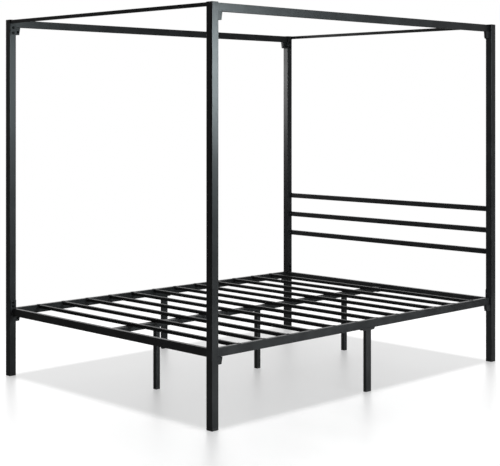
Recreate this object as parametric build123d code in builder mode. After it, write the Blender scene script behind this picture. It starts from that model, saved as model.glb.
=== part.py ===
from build123d import *
import os

# Four poster canopy bed for a queen mattress, in black powder-coated square steel tube.
# X runs across the bed, Y along it with the head end at +Y, Z up. The origin is on the floor
# under the middle of the bed. All sizes are millimetres.

# ---- Driving dimensions ---------------------------------------------------------------------

BED_WIDTH = 1600.0
BED_LENGTH = 2108.0
BED_HEIGHT = 1855.0
DECK_TOP = 352.0

POST_SIZE = 38.0
RAIL_TALL = 38.0
SIDE_RAIL_TALL = 40.0
CENTRE_RAIL_TALL = 25.0
RAIL_THICK = 20.0
CANOPY_BAR_SIZE = 17.0
SLAT_SIZE = 17.0
HEADBOARD_BAR_TALL = 28.0
HEADBOARD_BAR_THICK = 20.0
CENTRE_LEG_SIZE = 25.0
TUBE_WALL = 1.2
SLAT_WALL = 1.0
TUBE_CORNER = 1.8
BORE_CORNER = 0.7

SIDE_RAIL_RECESS = 16.0
RAIL_END_GAP = 2.0
CANOPY_DROP = 2.0
OVERCUT = 1.0

SLAT_COUNT = 12
SLAT_PITCH = 158.0
HEADBOARD_TOP = 852.0
HEADBOARD_PITCH = 118.0
CENTRE_LEG_SPREAD = 699.0

# Moulded glides, top caps and slat ends
TOP_CAP_HEIGHT = 17.0
FOOT_CAP_HEIGHT = 12.0
CAP_EDGE = 1.8
CAP_SEAM = 1.4
CAP_SEAM_DEPTH = 1.0
PLUG_DEPTH = 16.0
PLUG_PLAY = 0.2
PLUG_WALL = 2.5
SLAT_CAP_FLANGE = 3.0
SLAT_CAP_LIP = 2.0
SLAT_CAP_LIP_LENGTH = 17.0
PEG_DIAMETER = 6.0
PEG_REACH = 11.0
PEG_LENGTH = 7.0
PEG_HOLE = 6.4

# Folded brackets that carry the ends of the long rails, on the posts' inner faces
BRACKET_WIDTH = 20.0
BRACKET_SHEET = 2.5
BRACKET_FOLD = 2.4
BRACKET_REACH = 33.0
BRACKET_TAPER = 6.0
BRACKET_BOLT_REACH = 18.0
DECK_BRACKET_DROP = 31.0
DECK_BOLT_DROP = 16.0
CANOPY_BRACKET_DROP = 38.0
CANOPY_BOLT_DROP = 24.0
TAB_THICK = 3.0
TAB_START = 7.0
TAB_WIDTH = 16.0
TAB_BELOW_BOLT = 9.0
SLEEVE_DIAMETER = 14.0

# Bolted end plates of the crossbars
PLATE_THICK = 3.0
PLATE_WIDTH = 33.0
PLATE_INSET = 1.0
PLATE_CORNER = 3.0
PLATE_TOP_GAP = 1.0
DECK_PLATE_TOP = 395.0
DECK_PLATE_BOLTS = (363.0, 383.0)
CANOPY_PLATE_BOTTOM = 1774.0
CANOPY_PLATE_BOLTS = (1786.0, 1814.0)

# Brackets of the centre rail and of the side legs
ANGLE_THICK = 3.0
ANGLE_REACH = 40.0
ANGLE_RISE = 30.0
ANGLE_SCREW_REACH = 22.0
CENTRE_RAIL_GAP = 1.0
LEG_BRACKET_LENGTH = 92.0
LEG_BRACKET_PLATE = 2.0
LEG_BRACKET_EAR = 8.0
LEG_BRACKET_SHEET = 1.5
LEG_BRACKET_SLOPE = (8.0, 5.0)
LEG_SCREW_SPREAD = 64.0
CENTRE_LEG_FLANGE = 2.0
STUD_TOP = 14.0
STUD_LENGTH = 34.0

# Screws and nuts
M8_SHANK = 8.0
M8_BORE = 8.2
M8_HOLE = 9.0
M8_HEAD = (14.0, 4.4)
M8_SOCKET = (5.0, 2.6)
M8_NUT = (13.0, 6.5)
M8_THIN_NUT = (13.0, 4.5)
M6_SHANK = 6.0
M6_BORE = 6.2
M6_HOLE = 6.6
M6_HEAD = (10.5, 3.3)
M6_SOCKET = (4.0, 2.0)
M6_NUT = (10.0, 5.0)
HEAD_CROWN = 0.6
CORNER_BOLT_LENGTH = 17.0
PLATE_BOLT_LENGTH = 14.0
M6_SCREW_LENGTH = 12.0

# ---- Places that follow from them -----------------------------------------------------------

POST_X = (BED_WIDTH - POST_SIZE) / 2
POST_Y = (BED_LENGTH - POST_SIZE) / 2
POST_INNER_X = POST_X - POST_SIZE / 2
POST_INNER_Y = POST_Y - POST_SIZE / 2
POST_TOP = BED_HEIGHT - TOP_CAP_HEIGHT
CANOPY_TOP = BED_HEIGHT - CANOPY_DROP

SIDE_RAIL_X = BED_WIDTH / 2 - SIDE_RAIL_RECESS - RAIL_THICK / 2
SIDE_RAIL_INNER_X = SIDE_RAIL_X - RAIL_THICK / 2
SIDE_RAIL_LENGTH = 2 * (POST_INNER_Y - RAIL_END_GAP)
SIDE_RAIL_Z = DECK_TOP - SIDE_RAIL_TALL / 2
DECK_RAIL_BOTTOM = DECK_TOP - SIDE_RAIL_TALL
CROSS_RAIL_Z = DECK_RAIL_BOTTOM + RAIL_TALL / 2
CANOPY_RAIL_Z = CANOPY_TOP - RAIL_TALL / 2
CANOPY_RAIL_BOTTOM = CANOPY_TOP - RAIL_TALL

CROSS_RAIL_Y = POST_INNER_Y + RAIL_THICK / 2
CROSS_HALF_LENGTH = POST_INNER_X - PLATE_THICK
PLATE_Y = POST_INNER_Y + PLATE_INSET + PLATE_WIDTH / 2
CANOPY_BAR_Y = PLATE_Y + (PLATE_WIDTH - CANOPY_BAR_SIZE) / 2
CANOPY_BAR_Z = CANOPY_TOP - CANOPY_BAR_SIZE / 2
CANOPY_PLATE_TOP = CANOPY_TOP - PLATE_TOP_GAP
HEADBOARD_BAR_Y = BED_LENGTH / 2 - HEADBOARD_BAR_THICK / 2

SLAT_Z = DECK_TOP - SLAT_SIZE / 2
SLAT_HALF_LENGTH = SIDE_RAIL_INNER_X - SLAT_CAP_FLANGE
SLAT_YS = [(i - (SLAT_COUNT - 1) / 2) * SLAT_PITCH for i in range(SLAT_COUNT)]
PEG_X = SLAT_HALF_LENGTH + PEG_REACH

CENTRE_RAIL_TOP = DECK_TOP - SLAT_SIZE
CENTRE_RAIL_BOTTOM = CENTRE_RAIL_TOP - CENTRE_RAIL_TALL
CENTRE_RAIL_HALF_LENGTH = POST_INNER_Y - ANGLE_THICK - CENTRE_RAIL_GAP
CENTRE_LEG_YS = (-CENTRE_LEG_SPREAD, 0.0, CENTRE_LEG_SPREAD)
ANGLE_SCREW_Y = POST_INNER_Y - ANGLE_SCREW_REACH
LEG_TOP = DECK_RAIL_BOTTOM - LEG_BRACKET_PLATE

SIDES = (("left", -1), ("right", 1))
ENDS = (("foot", -1), ("head", 1))
CORNERS = [(x_sign, y_sign) for _, y_sign in ENDS for _, x_sign in SIDES]


# ---- Helpers --------------------------------------------------------------------------------

def save(builder, label):
    """Name a finished piece and write it to its own STEP file."""
    builder.part.label = label
    export_step(builder.part, f"parts/{label}.step")


def facing(direction, x, y, z):
    """Plane at a point that faces along a row axis, with its own y up where it can be."""
    x_dir = (0, 1, 0) if direction == (1, 0, 0) else (1, 0, 0)
    if direction == (-1, 0, 0):
        x_dir = (0, -1, 0)
    return Plane(origin=(x, y, z), x_dir=x_dir, z_dir=direction)


def tube(start, width, height, length, wall=TUBE_WALL):
    """Rectangular tube from the start plane: width along its x, height along its y."""
    with BuildPart() as bar:
        with BuildSketch(start):
            RectangleRounded(width, height, TUBE_CORNER)
            RectangleRounded(width - 2 * wall, height - 2 * wall, BORE_CORNER, mode=Mode.SUBTRACT)
        extrude(amount=length)
    return bar


def long_rail(x, z, tall):
    """Rail along the bed, on its narrow edge."""
    start = facing((0, 1, 0), x, -SIDE_RAIL_LENGTH / 2, z)
    return tube(start, RAIL_THICK, tall, SIDE_RAIL_LENGTH)


def crossbar(y, z, thick, tall, half_length):
    """Bar across the bed."""
    start = facing((1, 0, 0), -half_length, y, z)
    return tube(start, thick, tall, 2 * half_length)


def plug(width, depth, height):
    """Moulded end piece: a block of the tube's outline on XY, with a hollow plug above it.

    A narrow groove parts the block from the end of its tube.
    """
    plug_width = width - 2 * TUBE_WALL - PLUG_PLAY
    plug_depth = depth - 2 * TUBE_WALL - PLUG_PLAY
    neck_width = width - 2 * CAP_SEAM_DEPTH
    neck_depth = depth - 2 * CAP_SEAM_DEPTH
    with BuildPart() as cap:
        with BuildSketch(Plane.XY):
            RectangleRounded(width, depth, TUBE_CORNER)
        extrude(amount=height - CAP_SEAM)
        outer_face = cap.faces().sort_by(Axis.Z)[0]
        fillet(outer_face.edges(), CAP_EDGE)
        with BuildSketch(Plane.XY.offset(height - CAP_SEAM)):
            RectangleRounded(neck_width, neck_depth, TUBE_CORNER - CAP_SEAM_DEPTH)
        extrude(amount=CAP_SEAM)
        with BuildSketch(Plane.XY.offset(height)):
            RectangleRounded(plug_width, plug_depth, BORE_CORNER + PLUG_PLAY)
            Rectangle(plug_width - 2 * PLUG_WALL, plug_depth - 2 * PLUG_WALL, mode=Mode.SUBTRACT)
        extrude(amount=PLUG_DEPTH)
    return cap


def side_plane(x, y_sign, z):
    """Upright plane along the bed at a post's inner face: x towards the middle, y up."""
    origin = (x, y_sign * POST_INNER_Y, z)
    return Plane(origin=origin, x_dir=(0, -y_sign, 0), z_dir=(-y_sign, 0, 0))


def corner_bracket(x_sign, y_sign, top, drop, bolt_drop):
    """Folded channel on a post's inner face: two webs joined by a sloped end face.

    Only the web towards the middle of the bed takes the bolt.
    """
    side = side_plane(x_sign * POST_X, y_sign, top)
    inward = x_sign * y_sign
    overcut_run = OVERCUT * BRACKET_TAPER / drop
    cavity_end = BRACKET_REACH - BRACKET_SHEET
    cavity_half = BRACKET_WIDTH / 2 - BRACKET_SHEET
    with BuildPart() as bracket:
        with BuildSketch(side):
            with BuildLine():
                Polyline(
                    (0, 0),
                    (BRACKET_REACH, 0),
                    (BRACKET_REACH - BRACKET_TAPER, -drop),
                    (0, -drop),
                    close=True,
                )
            make_face()
        extrude(amount=BRACKET_WIDTH / 2, both=True)
        end_face = bracket.faces().sort_by(Axis(side.origin, side.x_dir))[-1]
        fillet(end_face.edges().filter_by(Axis.X, reverse=True), BRACKET_FOLD)
        with BuildSketch(side):
            with BuildLine():
                Polyline(
                    (-OVERCUT, OVERCUT),
                    (cavity_end + overcut_run, OVERCUT),
                    (cavity_end - BRACKET_TAPER - overcut_run, -drop - OVERCUT),
                    (-OVERCUT, -drop - OVERCUT),
                    close=True,
                )
            make_face()
        extrude(amount=cavity_half, both=True, mode=Mode.SUBTRACT)
        with BuildSketch(side):
            with Locations((BRACKET_BOLT_REACH, -bolt_drop)):
                Circle(M8_HOLE / 2)
        extrude(amount=inward * BRACKET_WIDTH, mode=Mode.SUBTRACT)
    return bracket


def rail_tab(x_sign, y_sign, top, bolt_drop):
    """Plate welded under a rail's end, with the sleeve that meets the bracket's inner web."""
    side = side_plane(x_sign * POST_X, y_sign, top)
    inward = x_sign * y_sign
    tab_drop = bolt_drop + TAB_BELOW_BOLT
    with BuildPart() as tab:
        with BuildSketch(side):
            with Locations((TAB_START + TAB_WIDTH / 2, -tab_drop / 2)):
                Rectangle(TAB_WIDTH, tab_drop)
        extrude(amount=TAB_THICK / 2, both=True)
        with BuildSketch(side):
            with Locations((BRACKET_BOLT_REACH, -bolt_drop)):
                Circle(SLEEVE_DIAMETER / 2)
        extrude(amount=inward * (BRACKET_WIDTH / 2 - BRACKET_SHEET))
        with BuildSketch(side):
            with Locations((BRACKET_BOLT_REACH, -bolt_drop)):
                Circle(M8_HOLE / 2)
        extrude(amount=BRACKET_WIDTH, both=True, mode=Mode.SUBTRACT)
    return tab


def end_plate(x_sign, y_sign, bottom, top, bolt_heights):
    """Plate welded to a crossbar's end and bolted to the post's inner face."""
    plate_face = facing((1, 0, 0), x_sign * CROSS_HALF_LENGTH, y_sign * PLATE_Y, 0)
    bolt_offset = y_sign * (POST_Y - PLATE_Y)
    with BuildPart() as plate:
        with BuildSketch(plate_face):
            with Locations((0, (bottom + top) / 2)):
                RectangleRounded(PLATE_WIDTH, top - bottom, PLATE_CORNER)
            with Locations(*[(bolt_offset, z) for z in bolt_heights]):
                Circle(M8_HOLE / 2, mode=Mode.SUBTRACT)
        extrude(amount=x_sign * PLATE_THICK)
    return plate


def button_screw(shank, length, head, socket):
    """Button-head screw: its head stands on XY and its shank hangs below."""
    with BuildPart() as screw:
        with BuildSketch(Plane.XY):
            Circle(head[0] / 2)
        extrude(amount=head[1])
        crown = screw.edges().filter_by(GeomType.CIRCLE).sort_by(Axis.Z)[-1]
        fillet(crown, HEAD_CROWN * head[1])
        with BuildSketch(Plane.XY):
            Circle(shank / 2)
        extrude(amount=-length)
        with BuildSketch(Plane.XY.offset(head[1])):
            RegularPolygon(socket[0] / 2, 6, major_radius=False)
        extrude(amount=-socket[1], mode=Mode.SUBTRACT)
    return screw


def hex_nut(bore, size):
    """Hexagon nut standing on XY."""
    with BuildPart() as nut:
        with BuildSketch(Plane.XY):
            RegularPolygon(size[0] / 2, 6, major_radius=False)
            Circle(bore / 2, mode=Mode.SUBTRACT)
        extrude(amount=size[1])
    return nut


os.makedirs("parts", exist_ok=True)

# ---- Posts, with their caps and glides ------------------------------------------------------

for end, y_sign in ENDS:
    for side, x_sign in SIDES:
        foot = facing((0, 0, 1), x_sign * POST_X, y_sign * POST_Y, FOOT_CAP_HEIGHT)
        inner_face = facing((1, 0, 0), x_sign * POST_INNER_X, y_sign * POST_Y, 0)
        with BuildPart() as post:
            with BuildSketch(foot):
                RectangleRounded(POST_SIZE, POST_SIZE, TUBE_CORNER)
                bore_size = POST_SIZE - 2 * TUBE_WALL
                RectangleRounded(bore_size, bore_size, BORE_CORNER, mode=Mode.SUBTRACT)
            extrude(amount=POST_TOP - FOOT_CAP_HEIGHT)
            with BuildSketch(inner_face):
                with Locations(*[(0, z) for z in DECK_PLATE_BOLTS + CANOPY_PLATE_BOLTS]):
                    Circle(M8_HOLE / 2)
            extrude(amount=x_sign * 2 * TUBE_WALL, mode=Mode.SUBTRACT)
        save(post, f"post_{end}_{side}")

foot_cap = plug(POST_SIZE, POST_SIZE, FOOT_CAP_HEIGHT)
with BuildPart() as post_foot_caps:
    with GridLocations(2 * POST_X, 2 * POST_Y, 2, 2):
        add(foot_cap.part)
save(post_foot_caps, "post_foot_caps")

top_cap = plug(POST_SIZE, POST_SIZE, TOP_CAP_HEIGHT)
cap_places = [facing((0, 0, -1), x * POST_X, y * POST_Y, BED_HEIGHT) for x, y in CORNERS]
with BuildPart() as post_top_caps:
    with Locations(*cap_places):
        add(top_cap.part)
save(post_top_caps, "post_top_caps")

# ---- Long rails of the deck and the canopy --------------------------------------------------

leg_screw_ys = (-LEG_SCREW_SPREAD / 2, LEG_SCREW_SPREAD / 2)
for side, x_sign in SIDES:
    save(long_rail(x_sign * SIDE_RAIL_X, CANOPY_RAIL_Z, RAIL_TALL), f"canopy_side_rail_{side}")

    blank = long_rail(x_sign * SIDE_RAIL_X, SIDE_RAIL_Z, SIDE_RAIL_TALL)
    with BuildPart() as side_rail:
        add(blank.part)
        with BuildSketch(Plane.XY.offset(DECK_TOP)):
            with Locations(*[(x_sign * PEG_X, y) for y in SLAT_YS]):
                Circle(PEG_HOLE / 2)
        extrude(amount=-2 * TUBE_WALL, mode=Mode.SUBTRACT)
        with BuildSketch(Plane.XY.offset(DECK_RAIL_BOTTOM)):
            with Locations(*[(x_sign * SIDE_RAIL_X, y) for y in leg_screw_ys]):
                Circle(M6_HOLE / 2)
        extrude(amount=2 * TUBE_WALL, mode=Mode.SUBTRACT)
    save(side_rail, f"side_rail_{side}")

# ---- Crossbars of the two ends, and the headboard -------------------------------------------

for end, y_sign in ENDS:
    cross_rail = crossbar(
        y_sign * CROSS_RAIL_Y, CROSS_RAIL_Z, RAIL_THICK, RAIL_TALL, CROSS_HALF_LENGTH
    )
    save(cross_rail, f"{end}_rail")
    canopy_bar = crossbar(
        y_sign * CANOPY_BAR_Y, CANOPY_BAR_Z, CANOPY_BAR_SIZE, CANOPY_BAR_SIZE, CROSS_HALF_LENGTH
    )
    save(canopy_bar, f"canopy_{end}_bar")

for step, level in enumerate(("upper", "middle", "lower")):
    bar_z = HEADBOARD_TOP - HEADBOARD_BAR_TALL / 2 - step * HEADBOARD_PITCH
    headboard_bar = crossbar(
        HEADBOARD_BAR_Y, bar_z, HEADBOARD_BAR_THICK, HEADBOARD_BAR_TALL, POST_INNER_X
    )
    save(headboard_bar, f"headboard_bar_{level}")

plates = []
for x_sign, y_sign in CORNERS:
    deck_plate = end_plate(x_sign, y_sign, DECK_RAIL_BOTTOM, DECK_PLATE_TOP, DECK_PLATE_BOLTS)
    canopy_plate = end_plate(
        x_sign, y_sign, CANOPY_PLATE_BOTTOM, CANOPY_PLATE_TOP, CANOPY_PLATE_BOLTS
    )
    plates += [deck_plate.part, canopy_plate.part]
with BuildPart() as crossbar_end_plates:
    add(plates)
save(crossbar_end_plates, "crossbar_end_plates")

# ---- Slats and the caps that hang them on the side rails ------------------------------------

for number, y in enumerate(SLAT_YS, start=1):
    start = facing((1, 0, 0), -SLAT_HALF_LENGTH, y, SLAT_Z)
    slat = tube(start, SLAT_SIZE, SLAT_SIZE, 2 * SLAT_HALF_LENGTH, SLAT_WALL)
    save(slat, f"slat_{number:02d}")

slat_plug = SLAT_SIZE - 2 * SLAT_WALL - PLUG_PLAY
lip_middle = (SLAT_CAP_LIP_LENGTH / 2, 0)
with BuildPart() as slat_cap:
    with BuildSketch(Plane.YZ):
        RectangleRounded(SLAT_SIZE, SLAT_SIZE, TUBE_CORNER)
    extrude(amount=SLAT_CAP_FLANGE)
    with BuildSketch(Plane.YZ):
        RectangleRounded(slat_plug, slat_plug, BORE_CORNER + PLUG_PLAY)
        Rectangle(slat_plug - 2 * PLUG_WALL, slat_plug - 2 * PLUG_WALL, mode=Mode.SUBTRACT)
    extrude(amount=-PLUG_DEPTH)
    with BuildSketch(Plane.XY.offset(SLAT_SIZE / 2)):
        with Locations(lip_middle):
            RectangleRounded(SLAT_CAP_LIP_LENGTH, SLAT_SIZE, TUBE_CORNER)
    extrude(amount=SLAT_CAP_LIP)
    fillet(slat_cap.faces().sort_by(Axis.Z)[-1].edges(), SLAT_CAP_LIP / 2)
    with BuildSketch(Plane.XY.offset(SLAT_SIZE / 2)):
        with Locations((PEG_REACH, 0)):
            Circle(PEG_DIAMETER / 2)
    extrude(amount=-PEG_LENGTH)

slat_ends = []
for _, x_sign in SIDES:
    for y in SLAT_YS:
        end_point = (x_sign * SLAT_HALF_LENGTH, y, SLAT_Z)
        slat_ends.append(Plane(origin=end_point, x_dir=(x_sign, 0, 0), z_dir=(0, 0, 1)))
with BuildPart() as slat_end_caps:
    with Locations(*slat_ends):
        add(slat_cap.part)
save(slat_end_caps, "slat_end_caps")

# ---- Centre rail, its brackets and its legs -------------------------------------------------

rail_start = facing((0, 1, 0), 0, -CENTRE_RAIL_HALF_LENGTH, CENTRE_RAIL_TOP - CENTRE_RAIL_TALL / 2)
blank = tube(rail_start, RAIL_TALL, CENTRE_RAIL_TALL, 2 * CENTRE_RAIL_HALF_LENGTH)
with BuildPart() as centre_rail:
    add(blank.part)
    with BuildSketch(Plane.XY.offset(CENTRE_RAIL_BOTTOM)):
        with Locations(*[(0, y) for y in CENTRE_LEG_YS]):
            Circle(M8_HOLE / 2)
        with Locations((0, -ANGLE_SCREW_Y), (0, ANGLE_SCREW_Y)):
            Circle(M6_HOLE / 2)
    extrude(amount=2 * TUBE_WALL, mode=Mode.SUBTRACT)
save(centre_rail, "centre_rail")

with BuildPart() as centre_rail_brackets:
    for _, y_sign in ENDS:
        with BuildSketch(side_plane(0, y_sign, CENTRE_RAIL_BOTTOM)):
            with BuildLine():
                Polyline(
                    (0, -ANGLE_THICK),
                    (ANGLE_REACH, -ANGLE_THICK),
                    (ANGLE_REACH, 0),
                    (ANGLE_THICK, 0),
                    (ANGLE_THICK, ANGLE_RISE),
                    (0, ANGLE_RISE),
                    close=True,
                )
            make_face()
    extrude(amount=RAIL_TALL / 2, both=True)
    with BuildSketch(Plane.XY.offset(CENTRE_RAIL_BOTTOM)):
        with Locations((0, -ANGLE_SCREW_Y), (0, ANGLE_SCREW_Y)):
            Circle(M6_HOLE / 2)
    extrude(amount=-2 * ANGLE_THICK, mode=Mode.SUBTRACT)
save(centre_rail_brackets, "centre_rail_brackets")

centre_leg_top = CENTRE_RAIL_BOTTOM - CENTRE_LEG_FLANGE
for place, y in zip(("foot", "middle", "head"), CENTRE_LEG_YS):
    start = facing((0, 0, 1), 0, y, FOOT_CAP_HEIGHT)
    leg_height = centre_leg_top - FOOT_CAP_HEIGHT
    save(tube(start, CENTRE_LEG_SIZE, CENTRE_LEG_SIZE, leg_height), f"centre_leg_{place}")

centre_foot_cap = plug(CENTRE_LEG_SIZE, CENTRE_LEG_SIZE, FOOT_CAP_HEIGHT)
with BuildPart() as centre_leg_foot_caps:
    with Locations(*[(0, y, 0) for y in CENTRE_LEG_YS]):
        add(centre_foot_cap.part)
save(centre_leg_foot_caps, "centre_leg_foot_caps")

insert_size = CENTRE_LEG_SIZE - 2 * TUBE_WALL - PLUG_PLAY
with BuildPart() as centre_leg_inserts:
    with BuildSketch(Plane.XY.offset(centre_leg_top)):
        with Locations(*[(0, y) for y in CENTRE_LEG_YS]):
            RectangleRounded(CENTRE_LEG_SIZE, CENTRE_LEG_SIZE, TUBE_CORNER)
            Circle(M8_BORE / 2, mode=Mode.SUBTRACT)
    extrude(amount=CENTRE_LEG_FLANGE)
    with BuildSketch(Plane.XY.offset(centre_leg_top)):
        with Locations(*[(0, y) for y in CENTRE_LEG_YS]):
            RectangleRounded(insert_size, insert_size, BORE_CORNER + PLUG_PLAY)
            Circle(M8_BORE / 2, mode=Mode.SUBTRACT)
    extrude(amount=-PLUG_DEPTH)
save(centre_leg_inserts, "centre_leg_inserts")

with BuildPart() as centre_leg_studs:
    with BuildSketch(Plane.XY.offset(CENTRE_RAIL_BOTTOM + STUD_TOP)):
        with Locations(*[(0, y) for y in CENTRE_LEG_YS]):
            Circle(M8_SHANK / 2)
    extrude(amount=-STUD_LENGTH)
save(centre_leg_studs, "centre_leg_studs")

# ---- Side legs under the middle of the side rails -------------------------------------------

side_leg_feet = [(x_sign * SIDE_RAIL_X, 0) for _, x_sign in SIDES]
ear_bottom = LEG_TOP - LEG_BRACKET_EAR
half_bracket = LEG_BRACKET_LENGTH / 2
slope_run, slope_rise = LEG_BRACKET_SLOPE
channel_width = RAIL_THICK - 2 * LEG_BRACKET_SHEET
for side, x_sign in SIDES:
    start = facing((0, 0, 1), x_sign * SIDE_RAIL_X, 0, FOOT_CAP_HEIGHT)
    save(tube(start, RAIL_THICK, RAIL_TALL, LEG_TOP - FOOT_CAP_HEIGHT), f"side_leg_{side}")

    with BuildPart() as side_leg_bracket:
        with BuildSketch(facing((1, 0, 0), x_sign * SIDE_RAIL_X, 0, 0)):
            with BuildLine():
                Polyline(
                    (-half_bracket, DECK_RAIL_BOTTOM),
                    (half_bracket, DECK_RAIL_BOTTOM),
                    (half_bracket, ear_bottom + slope_rise),
                    (half_bracket - slope_run, ear_bottom),
                    (slope_run - half_bracket, ear_bottom),
                    (-half_bracket, ear_bottom + slope_rise),
                    close=True,
                )
            make_face()
        extrude(amount=RAIL_THICK / 2, both=True)
        with BuildSketch(Plane.XY.offset(LEG_TOP)):
            with Locations((x_sign * SIDE_RAIL_X, 0)):
                Rectangle(channel_width, 2 * LEG_BRACKET_LENGTH)
                Rectangle(2 * RAIL_THICK, RAIL_TALL)
        extrude(amount=-2 * LEG_BRACKET_EAR, mode=Mode.SUBTRACT)
        with BuildSketch(Plane.XY.offset(DECK_RAIL_BOTTOM)):
            with Locations(*[(x_sign * SIDE_RAIL_X, y) for y in leg_screw_ys]):
                Circle(M6_HOLE / 2)
        extrude(amount=-2 * LEG_BRACKET_PLATE, mode=Mode.SUBTRACT)
    save(side_leg_bracket, f"side_leg_bracket_{side}")

side_foot_cap = plug(RAIL_THICK, RAIL_TALL, FOOT_CAP_HEIGHT)
with BuildPart() as side_leg_foot_caps:
    with Locations(*[(x, y, 0) for x, y in side_leg_feet]):
        add(side_foot_cap.part)
save(side_leg_foot_caps, "side_leg_foot_caps")

# ---- Corner brackets and the tabs they hold -------------------------------------------------

deck_joint = (DECK_RAIL_BOTTOM, DECK_BRACKET_DROP, DECK_BOLT_DROP)
canopy_joint = (CANOPY_RAIL_BOTTOM, CANOPY_BRACKET_DROP, CANOPY_BOLT_DROP)
rail_joints = (("deck", deck_joint), ("canopy", canopy_joint))
tabs = []
for level, (top, drop, bolt_drop) in rail_joints:
    for end, y_sign in ENDS:
        for side, x_sign in SIDES:
            bracket = corner_bracket(x_sign, y_sign, top, drop, bolt_drop)
            save(bracket, f"{level}_corner_bracket_{end}_{side}")
            tabs.append(rail_tab(x_sign, y_sign, top, bolt_drop).part)
with BuildPart() as rail_end_tabs:
    add(tabs)
save(rail_end_tabs, "rail_end_tabs")

# ---- Screws and nuts ------------------------------------------------------------------------

corner_bolt = button_screw(M8_SHANK, CORNER_BOLT_LENGTH, M8_HEAD, M8_SOCKET)
plate_bolt = button_screw(M8_SHANK, PLATE_BOLT_LENGTH, M8_HEAD, M8_SOCKET)
m6_screw = button_screw(M6_SHANK, M6_SCREW_LENGTH, M6_HEAD, M6_SOCKET)
m8_nut = hex_nut(M8_BORE, M8_NUT)
thin_nut = hex_nut(M8_BORE, M8_THIN_NUT)
m6_nut = hex_nut(M6_BORE, M6_NUT)

bracket_bolt_y = POST_INNER_Y - BRACKET_BOLT_REACH
inner_web_x = POST_X - BRACKET_WIDTH / 2
tab_outer_x = POST_X + TAB_THICK / 2
corner_heads = []
corner_nut_seats = []
plate_heads = []
weld_nut_seats = []
for x_sign, y_sign in CORNERS:
    outward = (x_sign, 0, 0)
    inward = (-x_sign, 0, 0)
    y = y_sign * bracket_bolt_y
    for _, (top, _, bolt_drop) in rail_joints:
        corner_heads.append(facing(inward, x_sign * inner_web_x, y, top - bolt_drop))
        corner_nut_seats.append(facing(outward, x_sign * tab_outer_x, y, top - bolt_drop))
    for z in DECK_PLATE_BOLTS + CANOPY_PLATE_BOLTS:
        plate_x = x_sign * CROSS_HALF_LENGTH
        wall_x = x_sign * (POST_INNER_X + TUBE_WALL)
        plate_heads.append(facing(inward, plate_x, y_sign * POST_Y, z))
        weld_nut_seats.append(facing(outward, wall_x, y_sign * POST_Y, z))

centre_nut_z = CENTRE_RAIL_BOTTOM + TUBE_WALL
weld_nut_seats += [facing((0, 0, 1), 0, y, centre_nut_z) for y in CENTRE_LEG_YS]

m6_heads = [(0, y_sign * ANGLE_SCREW_Y, CENTRE_RAIL_BOTTOM - ANGLE_THICK) for _, y_sign in ENDS]
m6_nut_seats = [(0, y_sign * ANGLE_SCREW_Y, centre_nut_z) for _, y_sign in ENDS]
for x, _ in side_leg_feet:
    m6_heads += [(x, y, LEG_TOP) for y in leg_screw_ys]
    m6_nut_seats += [(x, y, DECK_RAIL_BOTTOM + TUBE_WALL) for y in leg_screw_ys]

hardware = (
    ("corner_bolts", corner_bolt, corner_heads),
    ("corner_nuts", thin_nut, corner_nut_seats),
    ("end_plate_bolts", plate_bolt, plate_heads),
    ("weld_nuts_m8", m8_nut, weld_nut_seats),
    ("bracket_screws", m6_screw, [facing((0, 0, -1), *point) for point in m6_heads]),
    ("weld_nuts_m6", m6_nut, [facing((0, 0, 1), *point) for point in m6_nut_seats]),
)
for label, piece, seats in hardware:
    with BuildPart() as fasteners:
        with Locations(*seats):
            add(piece.part)
    save(fasteners, label)
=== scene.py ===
"""Four poster canopy bed: powder coat, mouldings, hardware, weld beads and a studio.

The packed frame is loaded first. Each operator then finishes one group of like pieces, and
main() runs them in order. Lengths are metres in the frame's own axes: X across the bed,
Y towards the headboard, Z up.
"""
import math

import bpy
from bpy.props import FloatProperty
from bpy.props import FloatVectorProperty
from bpy.props import IntProperty
from bpy.props import PointerProperty
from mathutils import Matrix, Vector


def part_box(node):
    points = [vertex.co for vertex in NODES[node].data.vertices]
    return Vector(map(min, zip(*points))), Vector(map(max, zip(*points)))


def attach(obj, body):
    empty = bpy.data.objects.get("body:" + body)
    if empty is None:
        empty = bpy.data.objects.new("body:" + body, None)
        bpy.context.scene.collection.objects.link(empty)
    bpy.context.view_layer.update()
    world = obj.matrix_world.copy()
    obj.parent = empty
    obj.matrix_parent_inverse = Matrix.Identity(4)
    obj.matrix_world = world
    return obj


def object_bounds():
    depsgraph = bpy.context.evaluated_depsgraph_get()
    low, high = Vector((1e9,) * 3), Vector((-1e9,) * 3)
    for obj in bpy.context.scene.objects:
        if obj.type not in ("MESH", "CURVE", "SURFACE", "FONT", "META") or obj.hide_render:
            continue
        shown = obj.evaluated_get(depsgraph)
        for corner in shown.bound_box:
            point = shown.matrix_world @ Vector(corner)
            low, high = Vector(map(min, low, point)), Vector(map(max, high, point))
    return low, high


bl_info = {
    "name": "Canopy Bed Finishes",
    "version": (1, 0, 0),
    "blender": (4, 5, 0),
    "location": "View3D > Sidebar > Canopy Bed",
    "description": "Finishes, weld beads and a studio for a four poster canopy bed",
    "category": "Object",
}

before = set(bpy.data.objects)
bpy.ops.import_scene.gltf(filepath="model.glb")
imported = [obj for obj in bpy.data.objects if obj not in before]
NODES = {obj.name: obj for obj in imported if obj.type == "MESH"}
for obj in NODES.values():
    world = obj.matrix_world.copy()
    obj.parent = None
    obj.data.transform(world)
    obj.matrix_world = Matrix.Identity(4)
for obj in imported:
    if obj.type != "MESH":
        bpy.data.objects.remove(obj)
CAD_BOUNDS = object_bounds()
BODY = "root"

SIDES = ("left", "right")
ENDS = ("foot", "head")
LEVELS = ("deck", "canopy")
CORNERS = [(end, side) for end in ENDS for side in SIDES]

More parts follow.
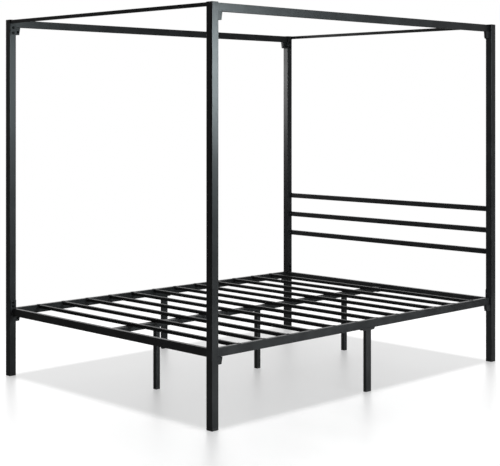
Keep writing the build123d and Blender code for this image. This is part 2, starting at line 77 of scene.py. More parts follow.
POSTS = [f"post_{end}_{side}" for end, side in CORNERS]
LONG_RAILS = [f"{kind}_{side}" for kind in ("side_rail", "canopy_side_rail") for side in SIDES]
PLATED_BARS = ["foot_rail", "head_rail", "canopy_foot_bar", "canopy_head_bar"]
CROSSBARS = PLATED_BARS + ["centre_rail"]
HEADBOARD = [f"headboard_bar_{level}" for level in ("upper", "middle", "lower")]
SLATS = sorted(name for name in NODES if name.startswith("slat_") and name[5:].isdigit())
LEGS = [f"centre_leg_{place}" for place in ("foot", "middle", "head")]
LEGS += [f"side_leg_{side}" for side in SIDES]
CORNER_BRACKETS = [
    f"{level}_corner_bracket_{end}_{side}" for level in LEVELS for end, side in CORNERS
]
PLATES = ["rail_end_tabs", "crossbar_end_plates", "centre_rail_brackets"]
PLATES += [f"side_leg_bracket_{side}" for side in SIDES]
MOULDINGS = ["post_top_caps", "post_foot_caps", "slat_end_caps"]
MOULDINGS += ["centre_leg_foot_caps", "side_leg_foot_caps", "centre_leg_inserts"]
HARDWARE = ["corner_bolts", "corner_nuts", "end_plate_bolts", "bracket_screws"]
HARDWARE += ["weld_nuts_m8", "weld_nuts_m6", "centre_leg_studs"]


# ---- Settings -------------------------------------------------------------------------------

class CoatSettings(bpy.types.PropertyGroup):
    """Black powder coat on the tubes and the pressed brackets."""

    colour: FloatVectorProperty(
        name="Coat colour",
        description="Colour of the powder coat",
        subtype="COLOR",
        size=3,
        min=0.0,
        max=1.0,
        default=(0.0155, 0.016, 0.0165),
    )
    roughness: FloatProperty(
        name="Roughness",
        description="Middle roughness of the satin coat",
        subtype="FACTOR",
        min=0.0,
        max=1.0,
        default=0.34,
    )
    grain: FloatProperty(
        name="Grain size",
        description="Size of the coat's fine grain",
        unit="LENGTH",
        default=0.0009,
    )
    peel: FloatProperty(
        name="Peel size",
        description="Size of the soft ripple that the coat cures with",
        unit="LENGTH",
        default=0.006,
    )
    relief: FloatProperty(
        name="Relief",
        description="Height of grain and ripple together",
        unit="LENGTH",
        default=0.00006,
    )
    dust: FloatProperty(
        name="Settled dust",
        description="Share of the top faces that a light dust lifts",
        subtype="FACTOR",
        min=0.0,
        max=1.0,
        default=0.12,
    )


class MouldingSettings(bpy.types.PropertyGroup):
    """Moulded black caps, glides and slat ends."""

    colour: FloatVectorProperty(
        name="Plastic colour",
        description="Colour of the moulded plastic",
        subtype="COLOR",
        size=3,
        min=0.0,
        max=1.0,
        default=(0.016, 0.016, 0.0165),
    )
    roughness: FloatProperty(
        name="Roughness",
        description="Middle roughness of the moulded surface",
        subtype="FACTOR",
        min=0.0,
        max=1.0,
        default=0.47,
    )
    texture: FloatProperty(
        name="Mould texture size",
        description="Size of the texture that the mould leaves",
        unit="LENGTH",
        default=0.0007,
    )


class HardwareSettings(bpy.types.PropertyGroup):
    """Black zinc bolts, screws and nuts."""

    colour: FloatVectorProperty(
        name="Zinc colour",
        description="Colour of the blackened zinc",
        subtype="COLOR",
        size=3,
        min=0.0,
        max=1.0,
        default=(0.006, 0.006, 0.0065),
    )
    roughness: FloatProperty(
        name="Roughness",
        description="Middle roughness of the plating",
        subtype="FACTOR",
        min=0.0,
        max=1.0,
        default=0.5,
    )


class WeldSettings(bpy.types.PropertyGroup):
    """Weld beads between the tubes, plates and brackets."""

    radius: FloatProperty(
        name="Bead radius",
        description="Half the width of a weld bead",
        unit="LENGTH",
        default=0.0021,
    )
    pitch: FloatProperty(
        name="Ripple pitch",
        description="Distance from one ripple of the bead to the next",
        unit="LENGTH",
        default=0.0016,
    )
    flatness: FloatProperty(
        name="Ripple length",
        description="Length of one ripple along the seam, as a share of its radius",
        subtype="FACTOR",
        min=0.1,
        max=2.0,
        default=0.72,
    )
    jitter: FloatProperty(
        name="Size variation",
        description="How much the ripples differ in size",
        subtype="FACTOR",
        min=0.0,
        max=0.5,
        default=0.12,
    )
    seed: IntProperty(
        name="Seed",
        description="Seed of the size variation",
        default=7,
    )


class StageSettings(bpy.types.PropertyGroup):
    """Floor, lamps and camera."""

    floor_colour: FloatVectorProperty(
        name="Floor colour",
        description="Colour of the pale floor",
        subtype="COLOR",
        size=3,
        min=0.0,
        max=1.0,
        default=(0.92, 0.92, 0.92),
    )
    floor_size: FloatProperty(
        name="Floor size",
        description="Side of the square floor",
        unit="LENGTH",
        default=60.0,
    )
    floor_roughness: FloatProperty(
        name="Floor polish",
        description="Roughness of the floor, which sets how fast reflected feet fade",
        subtype="FACTOR",
        min=0.0,
        max=1.0,
        default=0.37,
    )
    # How strongly the shadow painted into the floor's glow darkens the floor under the deck.
    shade: FloatProperty(
        name="Contact shade",
        description="How much the floor darkens under the deck",
        subtype="FACTOR",
        min=0.0,
        max=1.0,
        default=0.235,
    )
    sky: FloatProperty(
        name="Sky strength",
        description="Strength of the soft light from all round",
        default=0.2,
    )
    fill_power: FloatProperty(
        name="Right fill",
        description="Power of the long fill light beside the right-hand rail",
        unit="POWER",
        default=11.0,
    )
    right_power: FloatProperty(
        name="Right softbox",
        description="Power of the softbox beside the right-hand rail",
        unit="POWER",
        default=29.0,
    )
    left_power: FloatProperty(
        name="Left softbox",
        description="Power of the softbox beside the left-hand rail",
        unit="POWER",
        default=15.5,
    )
    camera_place: FloatVectorProperty(
        name="Camera place",
        description="Where the camera stands",
        subtype="XYZ",
        unit="LENGTH",
        size=3,
        default=(4.7406, -4.6328, 1.3908),
    )
    camera_turn: FloatProperty(
        name="Camera turn",
        description="Turn of the level camera about the vertical",
        subtype="ANGLE",
        default=math.radians(44.94),
    )
    lens: FloatProperty(
        name="Focal length",
        description="Focal length on a 36 mm sensor",
        default=88.93,
    )
    shift: FloatVectorProperty(
        name="Lens shift",
        description="Sideways and vertical shift, as shares of the picture's width",
        size=2,
        default=(-0.0456, -0.2484),
    )


# ---- Node helpers ---------------------------------------------------------------------------

def new_material(name):
    """Empty node material with a Principled surface, and its tree."""
    material = bpy.data.materials.new(name)
    material.use_nodes = True
    tree = material.node_tree
    tree.nodes.clear()
    output = tree.nodes.new("ShaderNodeOutputMaterial")
    surface = tree.nodes.new("ShaderNodeBsdfPrincipled")
    tree.links.new(surface.outputs["BSDF"], output.inputs["Surface"])
    return material, tree, surface


def feed(tree, socket, value):
    """Give an input a link from a socket, or a plain value."""
    if isinstance(value, bpy.types.NodeSocket):
        tree.links.new(value, socket)
    else:
        socket.default_value = value


def new_group(name, inputs, outputs):
    """Shader node group with named sockets, with its input and output nodes."""
    group = bpy.data.node_groups.new(name, "ShaderNodeTree")
    for direction, sockets in (("INPUT", inputs), ("OUTPUT", outputs)):
        for label, kind in sockets:
            group.interface.new_socket(label, in_out=direction, socket_type=kind)
    entry = group.nodes.new("NodeGroupInput")
    leave = group.nodes.new("NodeGroupOutput")
    return group, entry, leave


def math_node(tree, operation, *operands):
    """Math node whose operands are sockets or numbers; returns its output."""
    node = tree.nodes.new("ShaderNodeMath")
    node.operation = operation
    for socket, value in zip(node.inputs, operands):
        feed(tree, socket, value)
    return node.outputs[0]


def noise_node(tree, vector, scale, detail):
    """Noise texture at a scale given by a number or a socket; returns its value."""
    node = tree.nodes.new("ShaderNodeTexNoise")
    node.inputs["Detail"].default_value = detail
    tree.links.new(vector, node.inputs["Vector"])
    feed(tree, node.inputs["Scale"], scale)
    return node.outputs["Fac"]


def range_node(tree, value, low, high, to_low=0.0, to_high=1.0):
    """Map Range node with a smooth step; returns its result."""
    node = tree.nodes.new("ShaderNodeMapRange")
    node.interpolation_type = "SMOOTHSTEP"
    tree.links.new(value, node.inputs["Value"])
    pairs = (("From Min", low), ("From Max", high), ("To Min", to_low), ("To Max", to_high))
    for label, number in pairs:
        node.inputs[label].default_value = number
    return node.outputs["Result"]


def mix_colour(tree, factor, first, second):
    """Mix Color node whose colours are sockets or values; returns its result."""
    node = tree.nodes.new("ShaderNodeMix")
    node.data_type = "RGBA"
    tree.links.new(factor, node.inputs["Factor"])
    sockets = [socket for socket in node.inputs if socket.type == "RGBA"]
    for socket, value in zip(sockets, (first, second)):
        if isinstance(value, bpy.types.NodeSocket):
            tree.links.new(value, socket)
        else:
            socket.default_value = (*value, 1.0)
    return [socket for socket in node.outputs if socket.type == "RGBA"][0]


def place_group(tree, group, values):
    """Group node in a material, with numbers or links on its named inputs."""
    node = tree.nodes.new("ShaderNodeGroup")
    node.node_tree = group
    for label, value in values.items():
        feed(tree, node.inputs[label], value)
    return node


def relief(tree, surface, height, distance):
    """Bump from a height on the shader's normal."""
    bump = tree.nodes.new("ShaderNodeBump")
    bump.inputs["Distance"].default_value = distance
    tree.links.new(height, bump.inputs["Height"])
    tree.links.new(bump.outputs["Normal"], surface.inputs["Normal"])


def object_vector(tree):
    """Object coordinates, which are the frame's own here."""
    return tree.nodes.new("ShaderNodeTexCoord").outputs["Object"]


# ---- Materials ------------------------------------------------------------------------------

# Octaves of the two fine noises, and the size and octaves of the slow tone.
GRAIN_DETAIL = 2.0
RIPPLE_DETAIL = 1.0
TONE_PER_METRE = 9.0
TONE_DETAIL = 3.0

# Dust starts on the first slope and lies full on the second, given as upward normals.
DUST_COLOUR = (0.055, 0.056, 0.055)
DUST_SLOPES = (0.6, 0.98)

# Noise that thins the dust in patches, down to a share of its full depth.
DUST_PATCHES_PER_METRE = 38.0
DUST_DETAIL = 5.0
DUST_PATCHES = (0.32, 0.72)
DUST_THINNEST = 0.35

# Darkest and lightest share of the coat's colour, and the tones where they are reached.
COAT_TONES = (0.82, 1.22)
COAT_CLOUDS = (0.3, 0.7)

# The slats' coat is rougher and less glossy than the tubes', and its darker tone is painted
# shade; the pressed parts have less ripple.
COATS = {
    "powder_coat_tube": {"ripple_share": 0.6, "rougher": 0.0, "sheen": 0.5, "tone": 1.0},
    # Slat coat: a tone of 0.6 darkens the coat's colour as painted shade.
    "powder_coat_slat": {"ripple_share": 0.6, "rougher": 0.06, "sheen": 0.22, "tone": 0.6},
    "powder_coat_pressed": {"ripple_share": 0.35, "rougher": 0.04, "sheen": 0.38, "tone": 1.0},
}

MOULDING_DUST = 0.10
MOULDING_RELIEF = 0.00005

# Darkest share of the zinc's colour, and the tones between which the mottle changes.
PLATING_DARKEST = 0.7
PLATING_MOTTLE = (0.35, 0.65)
PLATING_METAL = 0.35
PLATING_SHEEN = 0.2
PLATING_RELIEF = 0.00002


def grain_group():
    """Surface grain shared by the coat, the mouldings and the plating.

    Two sizes of noise give a height, a roughness that varies round a middle value, and a
    slow tone that lightens or darkens the colour a little.
    """
    name = "Surface grain"
    if name in bpy.data.node_groups:
        return bpy.data.node_groups[name]
    inputs = (
        ("Vector", "NodeSocketVector"),
        ("Grain per metre", "NodeSocketFloat"),
        ("Ripple per metre", "NodeSocketFloat"),
        ("Ripple share", "NodeSocketFloat"),
        ("Roughness", "NodeSocketFloat"),
        ("Roughness spread", "NodeSocketFloat"),
    )
    outputs = (
        ("Height", "NodeSocketFloat"),
        ("Roughness", "NodeSocketFloat"),
        ("Tone", "NodeSocketFloat"),
    )
    group, entry, leave = new_group(name, inputs, outputs)
    vector = entry.outputs["Vector"]
    grain = noise_node(group, vector, entry.outputs["Grain per metre"], GRAIN_DETAIL)
    ripple = noise_node(group, vector, entry.outputs["Ripple per metre"], RIPPLE_DETAIL)
    slow = noise_node(group, vector, TONE_PER_METRE, TONE_DETAIL)
    share = entry.outputs["Ripple share"]
    rest = math_node(group, "SUBTRACT", 1.0, share)
    fine = math_node(group, "MULTIPLY", grain, rest)
    soft = math_node(group, "MULTIPLY", ripple, share)
    height = math_node(group, "ADD", fine, soft)
    swing = math_node(group, "SUBTRACT", math_node(group, "ADD", slow, grain), 1.0)
    spread = math_node(group, "MULTIPLY", swing, entry.outputs["Roughness spread"])
    rough = math_node(group, "ADD", entry.outputs["Roughness"], spread)
    group.links.new(height, leave.inputs["Height"])
    group.links.new(rough, leave.inputs["Roughness"])
    group.links.new(slow, leave.inputs["Tone"])
    return group


def dust_group():
    """Light dust that settles on upward faces, broken up by noise."""
    name = "Settled dust"
    if name in bpy.data.node_groups:
        return bpy.data.node_groups[name]
    inputs = (
        ("Vector", "NodeSocketVector"),
        ("Normal", "NodeSocketVector"),
        ("Amount", "NodeSocketFloat"),
    )
    group, entry, leave = new_group(name, inputs, (("Mask", "NodeSocketFloat"),))
    split = group.nodes.new("ShaderNodeSeparateXYZ")
    group.links.new(entry.outputs["Normal"], split.inputs[0])
    upward = range_node(group, split.outputs["Z"], *DUST_SLOPES)
    patches = noise_node(group, entry.outputs["Vector"], DUST_PATCHES_PER_METRE, DUST_DETAIL)
    broken = range_node(group, patches, *DUST_PATCHES, DUST_THINNEST, 1.0)
    lying = math_node(group, "MULTIPLY", upward, broken)
    mask = math_node(group, "MULTIPLY", lying, entry.outputs["Amount"])
    group.links.new(mask, leave.inputs["Mask"])
    return group


def dust_mask(tree, vector, amount):
    """Mask of the dust on a material's upward faces."""
    normal = tree.nodes.new("ShaderNodeNewGeometry").outputs["Normal"]
    values = {"Vector": vector, "Normal": normal, "Amount": amount}
    return place_group(tree, dust_group(), values).outputs["Mask"]


def grained_material(name, values, height):
    """Material with the shared grain in its roughness and its relief.

    Returns the material, its tree, its surface, its coordinates and the grain's tone.
    """
    material, tree, surface = new_material(name)
    vector = object_vector(tree)
    grain = place_group(tree, grain_group(), {"Vector": vector, **values})
    tree.links.new(grain.outputs["Roughness"], surface.inputs["Roughness"])
    relief(tree, surface, grain.outputs["Height"], height)
    return material, tree, surface, vector, grain.outputs["Tone"]


def coat_material(name, settings, ripple_share, rougher, sheen, tone):
    """Black powder coat: fine grain over a soft ripple, with a little settled dust.

    The sheen is the surface's specular level, and the tone scales its colour.
    """
    values = {
        "Grain per metre": 1.0 / settings.grain,
        "Ripple per metre": 1.0 / settings.peel,
        "Ripple share": ripple_share,
        "Roughness": settings.roughness + rougher,
        "Roughness spread": 0.07,
    }
    material, tree, surface, vector, slow = grained_material(name, values, settings.relief)
    dark, light = (
        tuple(share * tone * channel for channel in settings.colour) for share in COAT_TONES
    )
    coat = mix_colour(tree, range_node(tree, slow, *COAT_CLOUDS), dark, light)
    dust = dust_mask(tree, vector, settings.dust)
    colour = mix_colour(tree, dust, coat, DUST_COLOUR)
    tree.links.new(colour, surface.inputs["Base Color"])
    surface.inputs["Specular IOR Level"].default_value = sheen
    return material


def moulding_material(settings):
    """Matte black plastic with the mould's fine even texture."""
    values = {
        "Grain per metre": 1.0 / settings.texture,
        "Ripple per metre": 240.0,
        "Ripple share": 0.15,
        "Roughness": settings.roughness,
        "Roughness spread": 0.05,
    }
    material, tree, surface, vector, _ = grained_material(
        "moulded_black_plastic", values, MOULDING_RELIEF
    )
    dust = dust_mask(tree, vector, MOULDING_DUST)
    colour = mix_colour(tree, dust, tuple(settings.colour), DUST_COLOUR)
    tree.links.new(colour, surface.inputs["Base Color"])
    return material


def hardware_material(settings):
    """Blackened zinc plating, part metal, with a faint mottle."""
    values = {
        "Grain per metre": 1600.0,
        "Ripple per metre": 420.0,
        "Ripple share": 0.4,
        "Roughness": settings.roughness,
        "Roughness spread": 0.10,
    }
    material, tree, surface, _, slow = grained_material(
        "black_zinc_plating", values, PLATING_RELIEF
    )
    dark = tuple(PLATING_DARKEST * channel for channel in settings.colour)
    mottle = range_node(tree, slow, *PLATING_MOTTLE)
    colour = mix_colour(tree, mottle, dark, tuple(settings.colour))
    tree.links.new(colour, surface.inputs["Base Color"])
    surface.inputs["Metallic"].default_value = PLATING_METAL
    surface.inputs["Specular IOR Level"].default_value = PLATING_SHEEN
    return material


def paint(names, material):
    """Give CAD nodes one material in all of their slots."""
    for name in names:
        slots = NODES[name].material_slots
        for slot in slots:
            slot.material = material
        if not slots:
            raise RuntimeError(f"{name} has no material slot")


def coat(name):
    """One of the powder coats, made once and shared by the operators."""
    made = bpy.data.materials.get(name)
    return made or coat_material(name, bpy.context.scene.bed_coat, **COATS[name])


# ---- Weld beads -----------------------------------------------------------------------------

WELD_TREE = "Weld bead"

# How deep a bead's middle lies in the bar, as a share of the bead's radius.
WELD_SINK = 0.4


def weld_tree(material):
    """Geometry Nodes tree that lays overlapping ripples along the edges of a seam mesh."""
    tree = bpy.data.node_groups.new(WELD_TREE, "GeometryNodeTree")
    sockets = tree.interface
    sockets.new_socket("Geometry", in_out="INPUT", socket_type="NodeSocketGeometry")
    for label in ("Radius", "Pitch", "Ripple length", "Variation"):
        sockets.new_socket(label, in_out="INPUT", socket_type="NodeSocketFloat")
    sockets.new_socket("Seed", in_out="INPUT", socket_type="NodeSocketInt")
    sockets.new_socket("Geometry", in_out="OUTPUT", socket_type="NodeSocketGeometry")
    nodes = tree.nodes
    links = tree.links
    entry = nodes.new("NodeGroupInput")
    leave = nodes.new("NodeGroupOutput")

    seams = nodes.new("GeometryNodeMeshToCurve")
    links.new(entry.outputs["Geometry"], seams.inputs["Mesh"])
    spaced = nodes.new("GeometryNodeResampleCurve")
    spaced.mode = "LENGTH"
    links.new(seams.outputs["Curve"], spaced.inputs["Curve"])
    links.new(entry.outputs["Pitch"], spaced.inputs["Length"])

    ripple = nodes.new("GeometryNodeMeshIcoSphere")
    ripple.inputs["Subdivisions"].default_value = 2
    links.new(entry.outputs["Radius"], ripple.inputs["Radius"])

    tangent = nodes.new("GeometryNodeInputTangent")
    along = nodes.new("FunctionNodeAlignRotationToVector")
    along.axis = "Z"
    links.new(tangent.outputs["Tangent"], along.inputs["Vector"])

    vary = nodes.new("FunctionNodeRandomValue")
    vary.data_type = "FLOAT"
    smallest, largest = [socket for socket in vary.inputs if socket.type == "VALUE"][:2]
    links.new(math_node(tree, "SUBTRACT", 1.0, entry.outputs["Variation"]), smallest)
    largest.default_value = 1.0
    links.new(entry.outputs["Seed"], vary.inputs["Seed"])
    width = [socket for socket in vary.outputs if socket.type == "VALUE"][0]

    length = math_node(tree, "MULTIPLY", width, entry.outputs["Ripple length"])
    scale = nodes.new("ShaderNodeCombineXYZ")
    links.new(width, scale.inputs["X"])
    links.new(width, scale.inputs["Y"])
    links.new(length, scale.inputs["Z"])

    lay = nodes.new("GeometryNodeInstanceOnPoints")
    links.new(spaced.outputs["Curve"], lay.inputs["Points"])
    links.new(ripple.outputs["Mesh"], lay.inputs["Instance"])
    links.new(along.outputs["Rotation"], lay.inputs["Rotation"])
    links.new(scale.outputs["Vector"], lay.inputs["Scale"])
    real = nodes.new("GeometryNodeRealizeInstances")
    links.new(lay.outputs["Instances"], real.inputs["Geometry"])
    coated = nodes.new("GeometryNodeSetMaterial")
    coated.inputs["Material"].default_value = material
    links.new(real.outputs["Geometry"], coated.inputs["Geometry"])
    links.new(coated.outputs["Geometry"], leave.inputs["Geometry"])
    return tree


def seam_object(name, seams):
    """Mesh of edges only: one run of edges for each seam's corner points."""
    points = []
    edges = []
    for seam in seams:
        first = len(points)
        points += seam
        edges += [(first + i, first + i + 1) for i in range(len(seam) - 1)]
    mesh = bpy.data.meshes.new(name)
    mesh.from_pydata(points, edges, [])
    seam_line = bpy.data.objects.new(name, mesh)
    bpy.context.scene.collection.objects.link(seam_line)
    return seam_line


def weld(name, seams):
    """Weld beads along the seams, as one plain mesh that rides on the frame."""
    settings = bpy.context.scene.bed_weld
    tree = bpy.data.node_groups.get(WELD_TREE) or weld_tree(coat("powder_coat_tube"))
    line = seam_object(name + "_seams", seams)
    modifier = line.modifiers.new(WELD_TREE, "NODES")
    modifier.node_group = tree
    values = {
        "Radius": settings.radius,
        "Pitch": settings.pitch,
        "Ripple length": settings.flatness,
        "Variation": settings.jitter,
        "Seed": settings.seed,
    }
    for item in tree.interface.items_tree:
        if item.item_type == "SOCKET" and item.name in values and item.in_out == "INPUT":
            modifier[item.identifier] = values[item.name]
    bpy.context.view_layer.update()
    evaluated = line.evaluated_get(bpy.context.evaluated_depsgraph_get())
    mesh = bpy.data.meshes.new_from_object(evaluated)
    if not mesh.polygons:
        raise RuntimeError(f"{name} came out empty")
    mesh.name = name
    mesh.polygons.foreach_set("use_smooth", [True] * len(mesh.polygons))
    bead = bpy.data.objects.new(name, mesh)
    bpy.context.scene.collection.objects.link(bead)
    line.modifiers.remove(modifier)
    bpy.data.objects.remove(line)
    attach(bead, BODY)
    return bead


def end_seams(bar, radius):
    """Seams round both ends of a crossbar: along its top, its bed side and its underside."""
    low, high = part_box(bar)
    sink = WELD_SINK * radius
    if low.y > 0:
        near = low.y
        far = high.y - sink
    else:
        near = high.y
        far = low.y + sink
    seams = []
    for x in (low.x + sink, high.x - sink):
        seams.append([
            Vector((x, far, high.z)),
            Vector((x, near, high.z)),
            Vector((x, near, low.z)),
            Vector((x, far, low.z)),
        ])
    return seams


# ---- Operators ------------------------------------------------------------------------------

class BED_OT_finish_tubes(bpy.types.Operator):
    """Powder coat the posts, the rails and the crossbars"""

    bl_idname = "bed.finish_tubes"
    bl_label = "Finish posts and rails"

    def execute(self, context):
        paint(POSTS + LONG_RAILS + CROSSBARS, coat("powder_coat_tube"))
        return {"FINISHED"}


class BED_OT_finish_headboard(bpy.types.Operator):
    """Powder coat the headboard bars"""

    bl_idname = "bed.finish_headboard"
    bl_label = "Finish headboard"

    def execute(self, context):
        paint(HEADBOARD, coat("powder_coat_tube"))
        return {"FINISHED"}


class BED_OT_finish_slats(bpy.types.Operator):
    """Powder coat the slats"""

    bl_idname = "bed.finish_slats"
    bl_label = "Finish slats"

    def execute(self, context):
        paint(SLATS, coat("powder_coat_slat"))
        return {"FINISHED"}


class BED_OT_finish_legs(bpy.types.Operator):
    """Powder coat the centre legs and the side legs"""

    bl_idname = "bed.finish_legs"
    bl_label = "Finish legs"

    def execute(self, context):
        paint(LEGS, coat("powder_coat_tube"))
        return {"FINISHED"}


class BED_OT_finish_brackets(bpy.types.Operator):
    """Powder coat the folded brackets, the tabs and the plates"""

    bl_idname = "bed.finish_brackets"
    bl_label = "Finish brackets"

    def execute(self, context):
        paint(CORNER_BRACKETS + PLATES, coat("powder_coat_pressed"))
        return {"FINISHED"}


class BED_OT_finish_mouldings(bpy.types.Operator):
    """Give the caps, glides and slat ends their moulded plastic"""

    bl_idname = "bed.finish_mouldings"
    bl_label = "Finish caps and glides"

    def execute(self, context):
        paint(MOULDINGS, moulding_material(context.scene.bed_moulding))
        return {"FINISHED"}


class BED_OT_finish_hardware(bpy.types.Operator):
    """Plate the bolts, screws and nuts"""

    bl_idname = "bed.finish_hardware"
    bl_label = "Finish hardware"

    def execute(self, context):
        paint(HARDWARE, hardware_material(context.scene.bed_hardware))
        return {"FINISHED"}


class BED_OT_weld_headboard(bpy.types.Operator):
    """Lay weld beads where the headboard bars meet the head posts"""

    bl_idname = "bed.weld_headboard"
    bl_label = "Weld headboard"

    def execute(self, context):
        radius = context.scene.bed_weld.radius
        seams = [seam for bar in HEADBOARD for seam in end_seams(bar, radius)]
        weld("weld_beads_headboard", seams)
        return {"FINISHED"}


class BED_OT_weld_crossbars(bpy.types.Operator):
    """Lay weld beads where the crossbars meet their end plates"""

    bl_idname = "bed.weld_crossbars"
    bl_label = "Weld crossbars"

    def execute(self, context):
        radius = context.scene.bed_weld.radius
        seams = [seam for bar in PLATED_BARS for seam in end_seams(bar, radius)]
        weld("weld_beads_crossbars", seams)
        return {"FINISHED"}


class BED_OT_weld_brackets(bpy.types.Operator):
    """Lay weld beads down both webs of each corner bracket, on the post"""

    bl_idname = "bed.weld_brackets"
    bl_label = "Weld corner brackets"

    def execute(self, context):
        radius = context.scene.bed_weld.radius
        seams = []
        for name in CORNER_BRACKETS:
            low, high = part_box(name)
            y = high.y if low.y > 0 else low.y
            for x in (low.x, high.x):
                top = Vector((x, y, high.z - radius))
                seams.append([top, Vector((x, y, low.z + radius))])
        weld("weld_beads_corner_brackets", seams)
        return {"FINISHED"}


class BED_OT_stage(bpy.types.Operator):
    """Set the pale floor, the lamps, the sky and the camera"""

    bl_idname = "bed.stage"
    bl_label = "Set the stage"

    def execute(self, context):
        settings = context.scene.bed_stage
        make_floor(settings)
        make_sky(settings)
        make_lamps(settings)
        make_camera(settings)
        context.scene.view_settings.view_transform = "Standard"
        return {"FINISHED"}


# ---- Stage ----------------------------------------------------------------------------------

BLACK = (0.0, 0.0, 0.0)

# Floor paint as reflections see it, darker than the floor itself as painted shade, and as the
# camera sees it below its own glow.
MIRRORED_FLOOR = (0.22, 0.22, 0.22)
SEEN_FLOOR = (0.04, 0.04, 0.04)
PAINT_ROUGHNESS = 0.6
FLOOR_LIFT = (0.6, 0.6, 0.6)

# Polish in the open and under the deck, weaker there as painted shade, and how far past the
# bed it reaches and fades.
FLOOR_POLISH = (0.52, 0.52, 0.52)
SHADED_POLISH = (0.28, 0.28, 0.28)
POLISH_REACH = 1.3
POLISH_EDGE = 0.6
# Half the width of the soft edge of the shadow painted under the deck.
SHADE_EDGE = 0.05

# Where the bright wall stands, how its edge fades, and how dim the room opposite is.
WALL_DIRECTION = (-0.63, 0.78, 0.0)
WALL_EDGE = (0.05, 0.75)
DIM_ROOM = 0.05

COOL_LAMP = (0.87, 1.0, 1.04)


def smooth_box(tree, vector, half_x, half_y, edge):
    """Mask that is 1 inside a rectangle about the origin and fades to 0 over a soft edge."""
    split = tree.nodes.new("ShaderNodeSeparateXYZ")
    tree.links.new(vector, split.inputs[0])
    sides = []
    for label, half in (("X", half_x), ("Y", half_y)):
        away = math_node(tree, "ABSOLUTE", split.outputs[label])
        sides.append(range_node(tree, away, half - edge, half + edge, 1.0, 0.0))
    return math_node(tree, "MULTIPLY", *sides)


def floor_material(settings):
    """Pale, faintly polished floor paint with a soft painted shadow under the deck.

    Near the bed the floor is polished and shows the feet. Further out it is plain white to
    the camera. Reflections and bounced light see paint without polish everywhere, and
    reflections see that paint darker, as painted shade.
    """
    material, tree, surface = new_material("pale_floor")
    vector = object_vector(tree)
    _, bed_high = CAD_BOUNDS
    path = tree.nodes.new("ShaderNodeLightPath")
    seen = path.outputs["Is Camera Ray"]
    mirrored = path.outputs["Is Glossy Ray"]

    # Reflections see the floor painted darker than it is: painted shade.
    painted = mix_colour(tree, mirrored, tuple(settings.floor_colour), MIRRORED_FLOOR)
    colour = mix_colour(tree, seen, painted, SEEN_FLOOR)
    tree.links.new(colour, surface.inputs["Base Color"])
    surface.inputs["Roughness"].default_value = PAINT_ROUGHNESS

    # Painted shadow: the floor's glow is lowered over the bed's footprint.
    under = smooth_box(tree, vector, bed_high.x, bed_high.y, SHADE_EDGE)
    amount = math_node(tree, "MULTIPLY", under, settings.shade)
    lift = mix_colour(tree, amount, FLOOR_LIFT, BLACK)
    tree.links.new(lift, surface.inputs["Emission Color"])
    tree.links.new(seen, surface.inputs["Emission Strength"])

    polish = tree.nodes.new("ShaderNodeBsdfGlossy")
    polish.inputs["Roughness"].default_value = settings.floor_roughness
    # Polish weaker under the deck: painted shade on the floor's reflection.
    shine = mix_colour(tree, under, FLOOR_POLISH, SHADED_POLISH)
    tree.links.new(mix_colour(tree, seen, BLACK, shine), polish.inputs["Color"])
    layers = tree.nodes.new("ShaderNodeAddShader")
    tree.links.new(surface.outputs["BSDF"], layers.inputs[0])
    tree.links.new(polish.outputs["BSDF"], layers.inputs[1])

    plain = tree.nodes.new("ShaderNodeEmission")
    near = smooth_box(
        tree, vector, bed_high.x + POLISH_REACH, bed_high.y + POLISH_REACH, POLISH_EDGE
    )
    unseen = math_node(tree, "SUBTRACT", 1.0, seen)
    blend = tree.nodes.new("ShaderNodeMixShader")
    tree.links.new(math_node(tree, "MAXIMUM", near, unseen), blend.inputs[0])
    tree.links.new(plain.outputs["Emission"], blend.inputs[1])
    tree.links.new(layers.outputs["Shader"], blend.inputs[2])
    output = tree.nodes["Material Output"]
    tree.links.new(blend.outputs["Shader"], output.inputs["Surface"])
    return material


def make_floor(settings):
    """Square floor that the bed stands on."""
    half = settings.floor_size / 2
    corners = [(-half, -half, 0), (half, -half, 0), (half, half, 0), (-half, half, 0)]
    mesh = bpy.data.meshes.new("studio_floor")
    mesh.from_pydata(corners, [], [(0, 1, 2, 3)])
    mesh.materials.append(floor_material(settings))
    floor = bpy.data.objects.new("studio_floor", mesh)
    bpy.context.scene.collection.objects.link(floor)


def make_sky(settings):
    """White backdrop, and in reflections a bright wall and a dim room opposite."""
    world = bpy.data.worlds.new("studio_sky")
    bpy.context.scene.world = world
    world.use_nodes = True
    tree = world.node_tree
    tree.nodes.clear()
    output = tree.nodes.new("ShaderNodeOutputWorld")
    around = tree.nodes.new("ShaderNodeBackground")
    around.inputs["Color"].default_value = (1.0, 1.0, 1.0, 1.0)
    tree.links.new(around.outputs["Background"], output.inputs["Surface"])
    rays = tree.nodes.new("ShaderNodeLightPath").outputs
    direction = tree.nodes.new("ShaderNodeTexCoord").outputs["Generated"]
    facing = tree.nodes.new("ShaderNodeVectorMath")
    facing.operation = "DOT_PRODUCT"
    tree.links.new(direction, facing.inputs[0])
    facing.inputs[1].default_value = WALL_DIRECTION
    wall = range_node(tree, facing.outputs["Value"], *WALL_EDGE, DIM_ROOM, 1.0)
    mirrored = math_node(tree, "MULTIPLY", rays["Is Glossy Ray"], wall)
    plain = math_node(tree, "SUBTRACT", 1.0, rays["Is Glossy Ray"])
    soft = math_node(tree, "MULTIPLY", plain, settings.sky)
    strength = math_node(tree, "ADD", mirrored, soft)
    clear = math_node(tree, "MAXIMUM", rays["Is Camera Ray"], rays["Is Transmission Ray"])
    tree.links.new(math_node(tree, "MAXIMUM", strength, clear), around.inputs["Strength"])


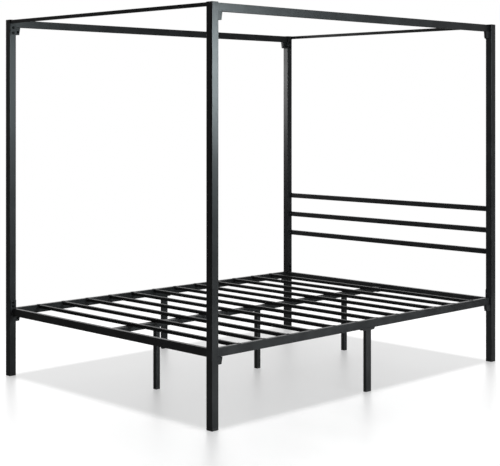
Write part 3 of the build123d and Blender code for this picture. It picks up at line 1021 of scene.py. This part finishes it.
def softbox(name, power, place, target, size, spread=180.0):
    """Rectangular lamp that faces a point; returns its object."""
    light = bpy.data.lights.new(name, "AREA")
    light.shape = "RECTANGLE"
    light.size, light.size_y = size
    light.energy = power
    light.spread = math.radians(spread)
    lamp = bpy.data.objects.new(name, light)
    lamp.location = place
    facing = Vector(target) - lamp.location
    lamp.rotation_euler = facing.to_track_quat("-Z", "Y").to_euler()
    lamp.visible_camera = False
    bpy.context.scene.collection.objects.link(lamp)
    return lamp


def make_lamps(settings):
    """Two softboxes that gloss the posts, and a long matt fill beside the right-hand rail."""
    right = softbox(
        "right_softbox",
        settings.right_power,
        place=(3.0, 0.2, 1.65),
        target=(0.8, -0.6, 1.55),
        size=(0.8, 0.5),
        spread=120.0,
    )
    right.data.color = COOL_LAMP
    softbox(
        "left_softbox",
        settings.left_power,
        place=(-3.0, -0.9, 1.7),
        target=(-0.8, 1.0, 1.6),
        size=(0.4, 0.8),
    )
    fill = softbox(
        "right_fill",
        settings.fill_power,
        place=(2.0, 0.0, 0.35),
        target=(0.8, 0.0, 0.3),
        size=(2.8, 0.5),
        spread=90.0,
    )
    fill.visible_glossy = False


def make_camera(settings):
    """Level camera off the right-hand foot corner."""
    data = bpy.data.cameras.new("camera")
    data.sensor_width = 36.0
    data.lens = settings.lens
    data.shift_x, data.shift_y = settings.shift
    data.clip_end = 200.0
    camera = bpy.data.objects.new("camera", data)
    camera.location = settings.camera_place
    camera.rotation_euler = (math.radians(90.0), 0.0, settings.camera_turn)
    bpy.context.scene.collection.objects.link(camera)
    bpy.context.scene.camera = camera


# ---- Panel and registration -----------------------------------------------------------------

OPERATORS = (
    BED_OT_finish_tubes,
    BED_OT_finish_headboard,
    BED_OT_finish_slats,
    BED_OT_finish_legs,
    BED_OT_finish_brackets,
    BED_OT_finish_mouldings,
    BED_OT_finish_hardware,
    BED_OT_weld_headboard,
    BED_OT_weld_crossbars,
    BED_OT_weld_brackets,
    BED_OT_stage,
)

SETTINGS = (
    ("bed_coat", CoatSettings),
    ("bed_moulding", MouldingSettings),
    ("bed_hardware", HardwareSettings),
    ("bed_weld", WeldSettings),
    ("bed_stage", StageSettings),
)


class BED_PT_panel(bpy.types.Panel):
    """Settings and steps of the canopy bed"""

    bl_idname = "BED_PT_panel"
    bl_label = "Canopy bed"
    bl_space_type = "VIEW_3D"
    bl_region_type = "UI"
    bl_category = "Canopy Bed"

    def draw(self, context):
        layout = self.layout
        for label, group in SETTINGS:
            box = layout.box()
            box.label(text=group.__doc__)
            settings = getattr(context.scene, label)
            for name in group.__annotations__:
                box.prop(settings, name)
        for operator in OPERATORS:
            layout.operator(operator.bl_idname)


def register():
    for label, group in SETTINGS:
        bpy.utils.register_class(group)
        setattr(bpy.types.Scene, label, PointerProperty(type=group))
    for operator in OPERATORS:
        bpy.utils.register_class(operator)
    bpy.utils.register_class(BED_PT_panel)


def unregister():
    bpy.utils.unregister_class(BED_PT_panel)
    for operator in reversed(OPERATORS):
        bpy.utils.unregister_class(operator)
    for label, group in reversed(SETTINGS):
        delattr(bpy.types.Scene, label)
        bpy.utils.unregister_class(group)


def main():
    register()
    for operator in OPERATORS:
        module, name = operator.bl_idname.split(".")
        getattr(getattr(bpy.ops, module), name)()


if __name__ == "__main__":
    main()
